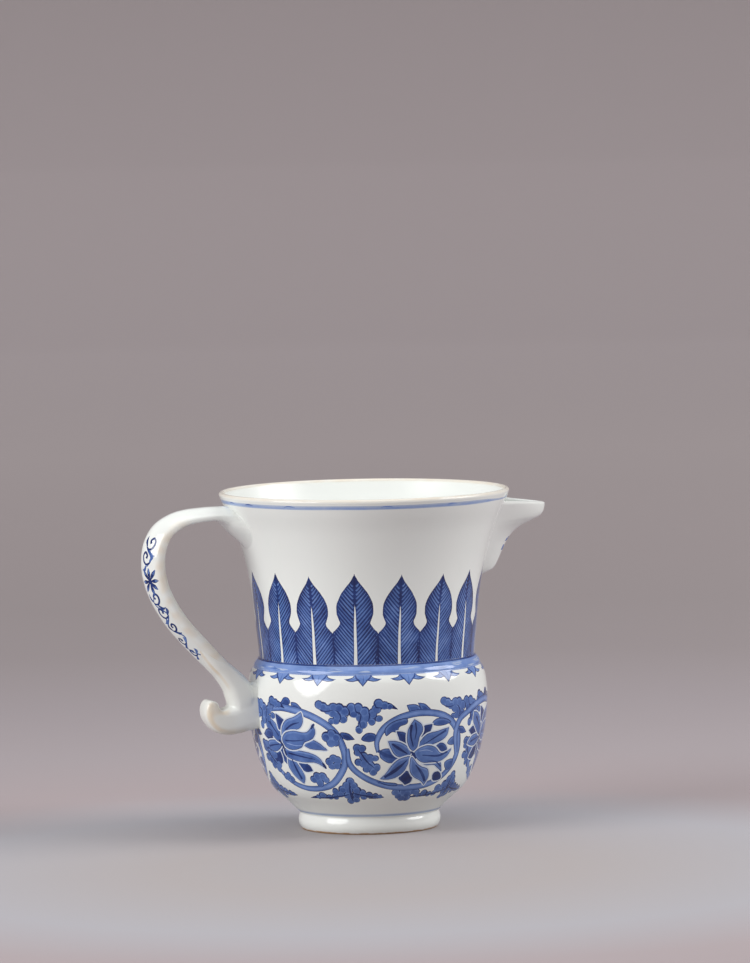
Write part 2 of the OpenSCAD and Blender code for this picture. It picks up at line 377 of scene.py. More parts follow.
NECK_KNOTS = [
    (33.4, NECK_FOOT_Z), (33.6, 56), (34.4, 64), (35.5, 74.5),
    (37.5, 84.5), (40.5, 94), (43.5, 100.5), (45, 104.1),
]
NECK_FLAT_R = 34.5
NECK_PERIOD = 2 * math.pi * NECK_FLAT_R
SPOUT_U = -FRONT_ANGLE * NECK_FLAT_R
BOWL_KNOTS = [
    (SEAT_R, SEAT_Z), (25.4, 9), (30.2, 13.6), (33.8, 21), (36, 29),
    (37.1, 37), (37.3, 43), (36.5, 48.6), (35.2, LEDGE_Z),
]
BOWL_FLAT_R = 36.0
BOWL_PERIOD = 2 * math.pi * BOWL_FLAT_R
BOWL_BAND_START_Z = 8
WALL = 2.4
LIP = 1.8
LEAVES = 16
# The middle of the leaf that is nearest the front
FIRST_LEAF_U = -3.4


# ---- Painting of the neck: a band of upright leaves -------------------------------

# Half the width of one leaf at each height above the foot of the neck
LEAF_EDGE = [
    (2.0, 6.9), (8, 6.9), (12, 6.8), (13, 6.0), (14.3, 4.95), (15.3, 4.45), (16.2, 4.6),
    (18.2, 5.3), (20.6, 5.35), (22.6, 4.8), (24.8, 3.7), (26.8, 2.3), (28.6, 1.0), (30.4, 0.12),
]


def leaf_half_width(v):
    return float(np.interp(v, *zip(*LEAF_EDGE), right=0.0))


def leaf(x, width, lean, tall, tone):
    """One leaf of the band: dark edge, wash, light veins and a white midrib."""
    side = smooth_line(LEAF_EDGE, 2)

    def bent(px, v):
        return (x + px * width + lean * (v / 30) ** 2, 2.0 + (v - 2.0) * tall)

    right = [bent(w * (1 + hand.uniform(-0.012, 0.012)), v) for v, w in side]
    left = [bent(-w * (1 + hand.uniform(-0.012, 0.012)), v) for v, w in side]
    shape = left + right[::-1]
    layers = [(DARK, grown(shape, 0.12)), (tone, grown(shape, -0.26))]
    slope = 1.25
    for sign in (-1, 1):
        v = -8 + hand.uniform(0, 0.8)
        while v < 27.2:
            reach = 0.45
            while reach < 8 and reach < leaf_half_width(v + reach * slope) - 0.35:
                reach += 0.2
            if reach > 0.9 and v + reach * slope > 2.4:
                start = max(0.45, (2.3 - v) / slope)
                a = bent(sign * start, v + start * slope)
                mid = (start + reach) / 2
                b = bent(sign * mid, v + mid * slope - 0.12)
                c = bent(sign * reach, v + reach * slope)
                thick = hand.uniform(0.4, 0.54)
                shade = hand.uniform(PALE + 0.12, LIGHT + 0.1)
                layers.append((shade, ribbon([a, b, c], [thick, thick, 0.12], 2)))
            v += hand.uniform(1.25, 1.55)
    foot = hand.choice((0.9, 1.0, 1.1, 1.1, 1.3, 1.8))
    rib = [bent(hand.uniform(-0.1, 0.1), v) for v in (2.1, 7, 13, 18, 21.5)]
    shadow = [foot + 0.45, foot + 0.3, foot * 0.8 + 0.3, foot * 0.55 + 0.25, 0.2]
    layers.append((DEEP, ribbon(rib, shadow, 3)))
    layers.append((WHITE, ribbon(rib, [foot, foot * 0.85, foot * 0.7, foot * 0.45, 0.06], 3)))
    tip = [bent(0, 20.5), bent(0, 25), bent(0, 29), bent(0, 31)]
    layers.append((DARK, ribbon(tip, [0.1, 0.3, 0.55, 0.16], 3)))
    return layers


def neck_painting():
    pitch = NECK_PERIOD / LEAVES
    layers = []
    for i in range(LEAVES):
        x = FIRST_LEAF_U + i * pitch + hand.uniform(-0.35, 0.35)
        tone = hand.uniform(DEEP + 0.02, DARK)
        width = hand.uniform(0.97, 1.03)
        lean = hand.uniform(-0.5, 1.2)
        layers += leaf(x, width, lean, hand.uniform(0.95, 1.03), tone)
    for i in range(LEAVES):
        x = FIRST_LEAF_U + (i + 0.5) * pitch
        seam = [(x + hand.uniform(-0.6, 0.6), v) for v in (2.0, 4.4, 6.8, 9.2, 11.2, 12.2)]
        layers.append((DARK, ribbon(seam, [0.5, 0.4, 0.34, 0.3, 0.3, 0.15], 4)))
    # the uneven double line under the rim, which thins out on both sides of the spout
    steps = 72
    half = NECK_PERIOD / 2
    lines = ((52.2, 53.5, FAINT + 0.03, 0.14), (52.45, 53.05, FAINT + 0.1, 0.3))
    for low, high, ink, wave in lines:
        top = []
        bottom = []
        for i in range(steps + 1):
            u = NECK_PERIOD * i / steps
            turn = math.tau * i / steps
            w = wave * noise.noise(Vector((3 * math.cos(turn), 3 * math.sin(turn), low)))
            away = abs((u - SPOUT_U + half) % NECK_PERIOD - half)
            thinner = 0.32 * (high - low) * (1 - smoothstep(22, 34, away))
            top.append((u, high + w - thinner))
            bottom.append((u, low + w * 1.5 + thinner))
        layers.append((ink, bottom + top[::-1]))
    for u in (-41, -33, -20, 4, 21, 47, 68, 90):
        line = [(u, 53.0), (u + 1.4, 53.25), (u + 3, 53.0)]
        layers += stroke(line, [0.1, 0.4, 0.1], PALE + hand.uniform(0, 0.25))
    return layers


# ---- Painting of the bowl ---------------------------------------------------------

# The points and outlines here were read, in millimetres, off a chart of the photo
# flattened onto the bowl: x is along its girth and y is up its profile.


def petal(points, tone=LIGHT + 0.01):
    """A petal with a pale reserve round it, a dark edge and a wash inside."""
    shape = grown(shaky(outline(points), 0.12), 0.15)
    return [
        (RESERVE, grown(shape, 0.42)),
        (DARK, shape),
        (tone + hand.uniform(-0.05, 0.05), grown(shape, -0.2)),
        (tone + 0.1, moved(grown(shape, -0.56), 0.2, -0.26)),
    ]


def leaf_blob(points, tone=WASH - 0.06):
    """A small solid leaf with a darker edge."""
    shape = shaky(outline(points), 0.12)
    tone += hand.uniform(-0.08, 0.03)
    inside = moved(grown(shape, -0.6), 0.15, -0.2)
    return [(DARK, shape), (tone, grown(shape, -0.26)), (tone + 0.12, inside)]


def cloud(lobes):
    """Lobed leaves, as round dabs (x, y, radius) that run together, darker in the middle."""
    t = []
    for size, ink in ((1.28, DARK), (1.06, LIGHT + 0.04), (0.78, WASH - 0.04)):
        for x, y, r in lobes:
            wide = hand.uniform(0.9, 1.1)
            shift = hand.uniform(-0.1, 0.1)
            steps = 12
            t.append((ink + hand.uniform(-0.04, 0.04), [
                (x + shift + r * size * wide * math.cos(math.tau * i / steps),
                 y - (1 - size) * 0.5 * r + r * size / wide * math.sin(math.tau * i / steps))
                for i in range(steps)
            ]))
    return t


def vine(points, widths):
    """A scrolling stem: dark edges with a lighter middle."""
    return [
        (DARK, ribbon(points, [w * 1.3 for w in widths])),
        (LIGHT + 0.06, ribbon(points, [w * 1.3 - 0.4 for w in widths])),
        (LIGHT - 0.06, ribbon(points, [w * 0.5 for w in widths])),
    ]


def stroke(points, widths, ink=DARK):
    return [(ink, ribbon(points, widths))]


def painted(draw, shapes, *how):
    """The layers of all the shapes, each drawn the same way."""
    return [layer for shape in shapes for layer in draw(shape, *how)]


def bloom_side():
    """A flower seen from the side, with its vine over the top."""
    t = painted(leaf_blob, [
        [(-31, 36), (-28.6, 37.3), (-27.4, 38.7), (-25.6, 38.7), (-24.8, 37.2), (-27, 35.6)],
        [(-24.6, 37.3), (-22.4, 37.2), (-20.4, 35.4), (-20.4, 35.4), (-23.4, 35.2)],
    ], WASH)
    t += vine(
        [(-44, 20), (-45.5, 26), (-44, 30.6), (-40, 32.8), (-36, 34.4), (-31, 35.4), (-26, 35.4),
         (-18, 33.6), (-11, 29.4), (-7.7, 23.4), (-7.8, 17.6), (-12, 11.8), (-17.5, 9.6),
         (-24, 9.4), (-30, 11.6), (-34.2, 15.6), (-35.4, 18.4)],
        [1.2, 1.6, 1.7, 1.7, 1.7, 1.8, 1.8, 1.8, 1.8, 1.8, 1.8, 1.8, 1.7, 1.6, 1.5, 1.3, 0.8],
    )
    t += painted(cloud, [
        [(-12.9, 26.9, 1.3), (-11.2, 27.9, 1.2), (-9.8, 26.9, 1.2), (-11.5, 25.3, 1.3),
         (-10, 25.2, 1)],
        [(-12.6, 18.9, 1.1), (-11.2, 20, 1.1), (-9.8, 19.4, 1.1), (-11.9, 17.4, 1),
         (-10.1, 17.7, 1.1)],
        [(-19.4, 12.6, 1.1), (-17.8, 13.8, 1.2), (-15.8, 13.8, 1.2), (-14.8, 12.6, 1),
         (-17.4, 11.6, 1.3)],
        [(-31.8, 12.7, 1), (-30.2, 13.3, 1), (-29.2, 12, 1)],
    ])
    # dark calyx that shows between the petals
    t += leaf_blob([
        (-31, 27), (-29, 28), (-27, 25), (-26, 21), (-28, 17), (-31, 19), (-32, 23),
    ], WASH)
    t += painted(petal, [
        [(-31.6, 21.6), (-31, 18.4), (-33, 17), (-35.6, 17.6), (-35.6, 17.6), (-34, 20.2)],
        [(-38.6, 26.6), (-38.6, 26.6), (-36.4, 27.7), (-34.4, 27), (-33.8, 25.6), (-36.4, 25.2)],
    ], DEEP)
    t += painted(petal, [
        [(-38.4, 22.3), (-38.4, 22.3), (-36.4, 24.5), (-33, 25), (-29.8, 24.6), (-31, 22.6),
         (-34, 21.4)],
        [(-36.2, 32.3), (-36.2, 32.3), (-36.4, 29.6), (-34.8, 27.6), (-32, 25.2), (-29.8, 24.8),
         (-30, 27.8), (-31.6, 30.2), (-34, 31.8)],
    ])
    t += painted(petal, [
        [(-31.2, 33.4), (-31.2, 33.4), (-29.4, 32.5), (-27.6, 31.2), (-28.4, 29.4), (-30.2, 28.6),
         (-30.8, 30.6)],
        [(-23.8, 18.2), (-21.8, 18.4), (-20, 17.4), (-19.2, 15.8), (-19.2, 15.8), (-21.6, 15.4),
         (-23.4, 16.4)],
    ], DEEP)
    t += painted(petal, [
        [(-27.6, 20.6), (-28.8, 17), (-27.6, 14), (-25.8, 12.2), (-24.2, 11), (-24.2, 11),
         (-23, 13.2), (-23.6, 15.8), (-25.4, 18.8), (-26, 20.8)],
        [(-28.8, 22.4), (-24, 22.2), (-20, 21.7), (-17, 20.8), (-15.2, 19.2), (-14.2, 16.8),
         (-14.2, 16.8), (-16, 18), (-18, 18.6), (-21.4, 18.5), (-25, 18.9), (-28.4, 20)],
        [(-20.6, 24.4), (-18, 25.9), (-15.4, 25), (-12.8, 22.8), (-12.8, 22.8), (-15.6, 22.9),
         (-18.6, 23.2)],
        [(-29, 26.6), (-28.6, 29.4), (-26.8, 31.6), (-23.6, 32.8), (-20.8, 34.4), (-20.8, 34.4),
         (-20.4, 31.8), (-21.6, 29.6), (-24.4, 28.6), (-27, 27.6)],
        [(-29.2, 25.6), (-27.6, 27.6), (-24.2, 28.5), (-20.4, 28.1), (-18.4, 28.9), (-17.2, 30.9),
         (-17.2, 30.9), (-16.4, 28.6), (-17.6, 26.4), (-20.4, 25.2), (-22, 23.4), (-25.4, 22.5),
         (-28.2, 23.4)],
    ])
    for line in (
        ([(-28, 25.2), (-24, 25.3), (-20.6, 25.8)], [0.5, 0.35, 0.15]),
        ([(-27.6, 24.4), (-24, 23.8), (-21.4, 24)], [0.25, 0.25, 0.1], PALE),
        ([(-27.4, 28.6), (-24.6, 30.4), (-21.8, 31.2)], [0.5, 0.6, 0.2]),
        ([(-34.4, 30.6), (-32.6, 28.6), (-30.6, 26.4)], [0.9, 0.5, 0.2]),
        ([(-26.6, 19.4), (-25.6, 16), (-24.4, 12.6)], [0.3, 0.8, 0.9]),
        ([(-27.6, 21.2), (-22.6, 20.4), (-17.4, 19.6)], [0.5, 0.5, 0.2]),
        ([(-36.6, 22.8), (-33.6, 23.4), (-31, 23.8)], [0.7, 0.4, 0.2]),
        ([(-30.8, 25.2), (-29.4, 23.4), (-28.6, 20.4)], [0.7, 0.8, 0.4]),
        ([(-17.8, 29.4), (-17, 30.4), (-16.6, 31)], [0.5, 0.8, 0.5]),
        ([(-15, 18.6), (-14.4, 17.4), (-14, 16.6)], [0.5, 0.9, 0.5]),
    ):
        t += stroke(*line)
    return t


def bloom_full():
    """A flower seen from the front, with its vine underneath."""
    t = painted(leaf_blob, [
        [(11.7, 36.6), (11.7, 36.6), (13.8, 36.8), (15.6, 36.2), (16.4, 34.6), (14.2, 33.6),
         (12.4, 34.8)],
        [(15.4, 37), (15.4, 37), (17.4, 36.7), (19, 35.6), (20.4, 33.6), (17.2, 33.8),
         (16.2, 35.4)],
    ])
    t += cloud([
        (9.8, 7.8, 1.2), (11.2, 6.4, 1.3), (12.8, 5.2, 1.4), (14.8, 5, 1.3), (14.4, 7, 1.5),
        (12.6, 8, 1.3), (16.4, 7.9, 1.1), (18, 7.3, 1.1),
    ])
    t += vine(
        [(-6.4, 23.4), (-6, 18.4), (-3.2, 15), (1.4, 12.2), (7.6, 10.2), (14.6, 9.6), (21.6, 10.2),
         (27.4, 12.8), (31, 17), (31.9, 21.8), (30.6, 27), (27, 31), (22, 33.3), (15.4, 33.9),
         (9.4, 32.6), (4.8, 29.6), (2.7, 25.6), (3, 22)],
        [0.9, 1.5, 1.6, 1.7, 1.8, 1.8, 1.8, 1.8, 1.8, 1.8, 1.8, 1.8, 1.7, 1.7, 1.7, 1.6, 1.3, 0.9],
    )
    t += painted(leaf_blob, [
        [(5.4, 27.2), (5, 29.6), (7.6, 31.8), (11.6, 32.6), (11.9, 30.9), (9.5, 29.9), (9, 28.2),
         (7.2, 28.4)],
        [(20.2, 30.3), (22, 31.8), (25.4, 31.6), (27.7, 30.2), (24.6, 29.4), (21.8, 29.5)],
        [(26.6, 23.6), (28.2, 25.4), (30.6, 25.4), (30.9, 23.4), (28.6, 22.7)],
        [(26.8, 17.4), (28.6, 18.3), (30.6, 18), (30.4, 15.2), (28.6, 14.7), (27.3, 15.7)],
        [(3.6, 20.4), (3.8, 22.8), (6.6, 23.2), (8.6, 21.6), (9.4, 19.2), (6.4, 18.4)],
        [(4, 12.2), (6, 11.8), (9.6, 11.2), (9.6, 10.2), (6, 10.6), (2.6, 12)],
    ])
    t += stroke([(3, 22.6), (6, 20.8), (10, 20.2), (13.4, 20.8)], [1, 1.1, 0.8, 0.6], DEEP)
    t += leaf_blob([(12, 23), (15, 24), (17.4, 21), (16.4, 18), (13.4, 17.6), (11.6, 20)], DEEP)
    t += painted(petal, [
        [(8.8, 28.4), (8.8, 28.4), (11, 28), (12.3, 26.4), (12, 24), (10.4, 24), (9.6, 26.2)],
        [(16.9, 26.4), (17.2, 29.4), (20.3, 30), (20.3, 30), (19.6, 27.8), (18, 26)],
        [(22.2, 22.6), (24, 23.8), (26, 23), (27, 21), (25, 20.4), (23, 21.2)],
        [(10.4, 13), (11.2, 15), (13, 15.3), (14.9, 13.7), (14.7, 11.6), (12.9, 10.7),
         (12.9, 10.7), (11.7, 11.8)],
        [(23.2, 13.9), (24.9, 14.2), (26.4, 13), (26.6, 11.6), (24, 11.3), (23, 12.5)],
    ], DEEP)
    t += painted(petal, [
        [(6.2, 25.5), (6.2, 25.5), (8.8, 25.3), (11.8, 23.9), (13.4, 21.2), (11, 20.2), (8.6, 21),
         (7.2, 23)],
        [(4, 13), (4, 13), (6, 15), (7.6, 17.4), (9.4, 19.1), (11.6, 19.9), (13.6, 20),
         (12.8, 17.6), (11.6, 15.2), (9.4, 13.5), (6.6, 12.8)],
        [(14, 20), (13.6, 18), (14, 15.2), (15.8, 13.2), (18.6, 11.7), (20.2, 10.2), (20.2, 10.2),
         (21.2, 13), (20.2, 15.6), (18, 16.5), (16.2, 17.6)],
        [(17.8, 18.6), (20, 19.6), (23, 19), (25.2, 17.3), (26.4, 14.2), (26.4, 14.2),
         (24.6, 15.6), (22.4, 16.9), (19.2, 17)],
        [(15.6, 22.8), (16.6, 25), (18.8, 27), (22, 27.6), (26.8, 28.5), (26.8, 28.5), (26, 26),
         (23.8, 24.6), (20.4, 23.6), (17.4, 22.8)],
        [(14.8, 21.4), (16.6, 22.7), (19.2, 23.3), (22, 22.5), (24.8, 20.3), (28.8, 21.5),
         (28.8, 21.5), (27.4, 19.4), (24.6, 17.9), (21.4, 17.8), (18, 18), (15.8, 19.4)],
        [(14, 22.2), (12.5, 24), (12, 26.6), (12.5, 29.4), (14.2, 32), (14.2, 32), (16.4, 30.4),
         (17, 28.4), (15.9, 26.2), (15.4, 23.4)],
    ])
    for line in (
        ([(13.4, 30.4), (13.2, 27), (14.2, 23.4)], [0.9, 0.6, 0.3]),
        ([(14.6, 31), (15, 28.4), (14.6, 25.6)], [0.4, 0.5, 0.15]),
        ([(25.8, 27.8), (22, 26), (17.6, 23.8)], [0.8, 0.5, 0.2]),
        ([(27.4, 20.8), (23.6, 19.8), (17.6, 20.4)], [0.7, 0.7, 0.3]),
        ([(16.4, 21.8), (19, 22), (21.4, 21.2)], [0.25, 0.25, 0.1], PALE),
        ([(25.6, 16), (23, 17.9), (19.8, 18.3)], [0.5, 0.4, 0.2]),
        ([(20.2, 11.4), (18.6, 14), (15.6, 17.4)], [0.8, 1.0, 0.3]),
        ([(5.2, 13.6), (9, 16), (12.4, 19)], [0.8, 1.2, 0.3]),
        ([(7.4, 24.6), (9.6, 23), (12.4, 21.2)], [0.6, 0.9, 0.3]),
        ([(13.6, 21.8), (14.6, 20.8), (15.4, 19.4)], [0.5, 0.9, 0.4]),
    ):
        t += stroke(*line)
    return t


def upper_scroll():
    """The cloud-shaped leaves between two vines, above."""
    t = stroke([(4, 36.6), (6.4, 36.6), (9, 35.4)], [2.2, 1.8, 0.2])
    t += cloud([
        (-14.8, 36.9, 1.1), (-13.4, 36.2, 1.2), (-11.9, 35.4, 1.2), (-10.2, 36.2, 1.2),
        (-10.3, 34.4, 1.2), (-8.5, 36, 1.2), (-8.9, 33.8, 1.3), (-6.8, 35, 1.3),
        (-7.3, 32.6, 1.1), (-9.5, 32.1, 1), (-11, 31.9, 0.8), (-4.9, 36.1, 1.2), (-4, 34.3, 1.2),
        (-2.7, 36, 1.2), (-0.9, 34.9, 1.2), (-2.1, 33, 1.2), (-0.1, 33, 1.2), (1.5, 34.2, 1.2),
        (2.6, 35.6, 1.2), (3.3, 37.2, 1.2), (5, 36.6, 1.1), (1.2, 31.8, 1), (-1.5, 31, 1.2),
        (-2.7, 29.3, 1), (3.4, 32.6, 0.9), (6.6, 36.3, 0.8),
    ])
    for vein in (
        [(-15.6, 36), (-13, 35), (-10.4, 35.4)],
        [(-9.6, 35.4), (-8.6, 34.6), (-8, 33.2), (-8.6, 31.8)],
        [(-6, 36.2), (-5.4, 34.8), (-6.2, 33)],
        [(-3.8, 36.8), (-3.4, 35), (-2, 34), (-2.4, 31.6), (-2, 29.8)],
        [(0.2, 35.4), (0.6, 33.8), (0.2, 32)],
        [(2.2, 37.4), (2.6, 36.2), (4.4, 36)],
    ):
        t += stroke(vein, [0.15] + [0.4] * (len(vein) - 2) + [0.15])
    return t


def middle_scroll():
    """The small leaves where two vines part, half way up."""
    t = painted(leaf_blob, [
        [(-8.4, 28.4), (-6, 28.2), (-4, 26.2), (-4, 26.2), (-6.4, 25.9), (-8, 26.8)],
        [(-2.2, 26.2), (-0.6, 28.2), (2, 28), (2.4, 26), (0.2, 25.4)],
    ], WASH)
    t += cloud([
        (-3.4, 23.4, 1.1), (-1.9, 23.3, 1), (-3.2, 21.9, 1), (-1.4, 20.6, 1.2), (0.5, 20, 1.2),
        (2, 20, 0.9), (-3.2, 18.8, 1), (-1.4, 18.3, 1.2), (0.4, 17.6, 1.3), (2.6, 16.9, 1.1),
        (1.6, 15.5, 1.1), (-0.6, 16.4, 1),
    ])
    t += stroke([(-3.2, 23.2), (-2, 21.4), (-0.4, 19), (1.8, 17)], [0.2, 0.45, 0.5, 0.2])
    return t


def lower_scroll():
    """The larger palmette of leaves between two vines, below."""
    t = stroke([(-16, 6.4), (-20, 6), (-24.2, 5.3)], [2.2, 1.6, 0.2])
    t += stroke([(0, 6.6), (3, 6.3), (5.6, 6)], [2.2, 1.8, 0.3])
    t += cloud([
        (-6.4, 12.2, 1.2), (-7.7, 10.8, 1.2), (-5.3, 10.7, 1.1), (-9.4, 9.2, 1.2), (-7.2, 9, 1.3),
        (-4.4, 9, 1.2), (-12.2, 8.3, 1.1), (-10.6, 7.4, 1.2), (-7.6, 6.8, 1.4), (-4.6, 7, 1.3),
        (-2.2, 7.7, 1.2), (0, 7, 1.1), (2.4, 6.5, 1), (-2, 5.9, 0.9), (-5, 4.8, 1.2),
        (-7.2, 4.2, 1.2), (-12.8, 6.2, 1.1), (-15.2, 6, 1), (-17.8, 6.6, 1.2), (-20, 5.9, 0.8),
        (4, 6.3, 0.7),
    ])
    for vein in (
        [(-6.5, 12), (-6.8, 9.4), (-6.6, 6.4), (-6.2, 4)],
        [(-5.8, 8), (-2, 6.9), (3, 6.2)],
        [(-7.4, 7.4), (-10.6, 6.6), (-15, 5.9), (-20, 5.7)],
    ):
        t += stroke(vein, [0.3] + [0.6] * (len(vein) - 2) + [0.2])
    return t


def pendant(x, tone):
    """The drop under the waist, with a leaf to each side, as edge, inside and veins."""
    half = BOWL_PERIOD / LEAVES / 2
    edge = [
        (half, 48), (half, 48), (half, 46.5), (half, 46.5), (5.9, 47.1), (4.6, 47.2),
        (3.4, 46.8), (2.9, 46.1), (3.3, 45.5), (4.5, 45.1), (5.8, 44.95), (5.8, 44.95),
        (4.6, 44.3), (3, 44.1), (1.6, 44.4), (1.1, 43.9),
    ]
    points = [(0, 42.6), (0, 42.6), *[(-a, b) for a, b in edge[::-1]], *edge]
    shape = moved(shaky(outline(points, 3), 0.08), x)
    shades = []
    for side in (-1, 1):
        fold = [(x + side * 0.9, 44.4), (x + side * 2, 45.2), (x + side * 2.5, 46.4)]
        vein = [(x + side * 4.9, 44.8), (x + side * 3.4, 44.8), (x + side * 2.3, 45.3)]
        shades += stroke(fold, [0.15, 0.55, 0.2], DEEP)
        shades += stroke(vein, [0.1, 0.3, 0.15], tone + 0.12)
    shades += stroke([(x - 0.2, 43.3), (x + 0.1, 44.6), (x, 46.2)], [0.15, 0.35, 0.1], tone + 0.14)
    return [(DARK, shape)], [(tone, grown(shape, -0.26))], shades


def bowl_painting(top):
    layers = [
        (RESERVE, band(-4.0, -2.7, BOWL_PERIOD)),
        (FAINT + 0.05, band(-3.85, -3.05, BOWL_PERIOD)),
    ]
    pair = BOWL_PERIOD / 3
    for i in range(3):
        dx = i * pair
        for draw in (upper_scroll, middle_scroll, lower_scroll):
            layers += [(ink, moved(s, dx)) for ink, s in draw()]
            layers += [(ink, moved(s, dx + pair / 2 + 1.6)) for ink, s in draw()]
        layers += [(ink, moved(s, dx)) for ink, s in bloom_side() + bloom_full()]
    pitch = BOWL_PERIOD / LEAVES
    drops = [
        pendant(-1.2 + i * pitch, hand.uniform(LIGHT - 0.14, LIGHT + 0.06))
        for i in range(LEAVES)
    ]
    for part in range(3):
        for drop in drops:
            layers += drop[part]
        if part == 1:
            layers.append((LIGHT - 0.06, band(top - 0.32, top, BOWL_PERIOD)))
    return layers


# ---- Materials --------------------------------------------------------------------


def plug(tree, made, inputs):
    """Join or set inputs of a node: a value is another node's output or a plain value."""
    for key, value in inputs.items():
        if isinstance(value, bpy.types.NodeSocket):
            tree.links.new(value, made.inputs[key])
        else:
            made.inputs[key].default_value = value


def node(tree, kind, inputs=None, **values):
    """A shader node with its properties and inputs set."""
    made = tree.nodes.new(kind)
    for key, value in values.items():
        setattr(made, key, value)
    plug(tree, made, inputs or {})
    return made


def noise_node(tree, coords, scale, detail):
    inputs = {"Vector": coords.outputs["Object"], "Scale": scale, "Detail": detail}
    return node(tree, "ShaderNodeTexNoise", inputs).outputs["Fac"]


def ranged(tree, value, low, high):
    """Noise from 0 to 1 stretched to the given range."""
    inputs = {"Value": value, "To Min": low, "To Max": high}
    return node(tree, "ShaderNodeMapRange", inputs).outputs["Result"]


def math_node(tree, operation, *values):
    inputs = dict(enumerate(values))
    return node(tree, "ShaderNodeMath", inputs, operation=operation).outputs["Value"]


def vector_node(tree, operation, *values):
    return node(tree, "ShaderNodeVectorMath", dict(enumerate(values)), operation=operation)


def colour_ramp(tree, value, tones):
    """A ramp through (position, colour) pairs."""
    made = node(tree, "ShaderNodeValToRGB", {"Fac": value})
    stops = made.color_ramp.elements
    for stop, (position, colour) in zip(stops, (tones[0], tones[-1])):
        stop.position = position
        stop.color = (*colour, 1)
    for position, colour in tones[1:-1]:
        stops.new(position).color = (*colour, 1)
    return made.outputs["Color"]


def mixed(tree, factor, *colours):
    """A blend of two colours, each of them a node's output or three plain values."""
    a, b = ((*c, 1) if isinstance(c, tuple) else c for c in colours)
    inputs = {"Factor": factor, 6: a, 7: b}
    return node(tree, "ShaderNodeMix", inputs, data_type="RGBA").outputs[2]


COBALT = [
    (0.0, (0.78, 0.80, 0.765)),
    (0.12, (0.60, 0.665, 0.75)),
    (0.24, (0.39, 0.475, 0.64)),
    (0.38, (0.20, 0.31, 0.62)),
    (0.52, (0.10, 0.19, 0.46)),
    (0.7, (0.028, 0.078, 0.28)),
    (0.85, (0.007, 0.031, 0.165)),
    (1.0, (0.003, 0.012, 0.09)),
]


# The inside of the jug, nearer the axis than this (m), is rougher by this much, so that the
# lamps make no sharp reflections in it
INSIDE_REACH = 0.0465
INSIDE_DULLING = 0.22


def faces_the_axis(tree, coords):
    """1 on the inside of the neck and bowl, 0 elsewhere."""
    across = vector_node(tree, "MULTIPLY", coords.outputs["Object"], (1, 1, 0)).outputs["Vector"]
    facing = vector_node(tree, "DOT_PRODUCT", across, coords.outputs["Normal"]).outputs["Value"]
    reach = vector_node(tree, "LENGTH", across).outputs["Value"]
    inward = math_node(tree, "LESS_THAN", facing, -0.01)
    near = math_node(tree, "LESS_THAN", reach, INSIDE_REACH)
    return math_node(tree, "MULTIPLY", inward, near)


def porcelain(name, warm_colour, warm_roughness):
    """Glossy white with cobalt by 'ink'; the cream or bare clay shows by 'warm'."""
    material = bpy.data.materials.new(name)
    material.use_nodes = True
    tree = material.node_tree
    coords = node(tree, "ShaderNodeTexCoord")
    ink = node(tree, "ShaderNodeAttribute", attribute_name="ink").outputs["Fac"]
    warm = node(tree, "ShaderNodeAttribute", attribute_name="warm").outputs["Fac"]

    pooled = ranged(tree, noise_node(tree, coords, 170, 3), 0.62, 1.3)
    brushed = ranged(tree, noise_node(tree, coords, 900, 2), 0.93, 1.07)
    washed = math_node(tree, "MULTIPLY", ink, pooled)
    blue = colour_ramp(tree, math_node(tree, "MULTIPLY", washed, brushed), COBALT)
    thick = ranged(tree, noise_node(tree, coords, 28, 2), 0.0, 0.5)
    clay = mixed(tree, thick, (0.80, 0.82, 0.79), (0.75, 0.785, 0.745))
    inked = mixed(tree, math_node(tree, "GREATER_THAN", ink, 0.01), clay, blue)

    outside_gloss = ranged(tree, noise_node(tree, coords, 60, 2), 0.07, 0.13)
    dulled = math_node(tree, "MULTIPLY", faces_the_axis(tree, coords), INSIDE_DULLING)
    glossy = math_node(tree, "ADD", outside_gloss, dulled)
    rough = node(tree, "ShaderNodeMix", {"Factor": warm, 2: glossy, 3: warm_roughness})
    uneven = {"Strength": 0.12, "Distance": 0.0002, "Height": noise_node(tree, coords, 260, 3)}
    plug(tree, tree.nodes["Principled BSDF"], {
        "Base Color": mixed(tree, warm, inked, warm_colour),
        "Roughness": rough.outputs[0],
        "IOR": 1.52,
        "Normal": node(tree, "ShaderNodeBump", uneven).outputs["Normal"],
    })
    return material


glaze = porcelain("porcelain_glaze", (0.72, 0.63, 0.50), 0.16)
foot_glaze = porcelain("porcelain_foot", (0.46, 0.27, 0.13), 0.62)


# ---- Neck -------------------------------------------------------------------------


def smoothstep(low, high, x):
    t = min(max((x - low) / (high - low), 0.0), 1.0)
    return t * t * (3 - 2 * t)


def make_neck():
    outside = smooth_line(NECK_KNOTS, 8)
    n = len(outside)
    place, total = turned_place(outside, NECK_FLAT_R, 0.2)
    skin = painted_skin(place, NECK_PERIOD, -0.2, total - 0.2, COLUMNS, neck_painting())
    foot_wall = WALL + 0.3
    thickness = [foot_wall + (LIP - foot_wall) * i / (n - 1) for i in range(n)]
    inside = inset_line(outside, thickness)
    lip = arc_between(outside[-1], inside[-1], 8)
    rebate = [(BORE_R, REBATE_TOP_Z), (REBATE_R, REBATE_TOP_Z), (REBATE_R, NECK_FOOT_Z)]
    rest = [outside[-1], *lip, *inside[:7:-1], *rebate, outside[0]]

    def warm(p):
        r = math.hypot(p.x, p.y)
        edge = smoothstep(104.2, 104.9, p.z) * (0.55 + 0.3 * noise.noise(p * 0.25))
        return max(0.0, edge * smoothstep(41, 43.4, r))

    parts = [skin, turned_grid(rest)]
    return build_piece("neck_piece", parts, glaze, ["neck"], warm)


# ---- Waist bead, bowl and foot ------------------------------------------------------


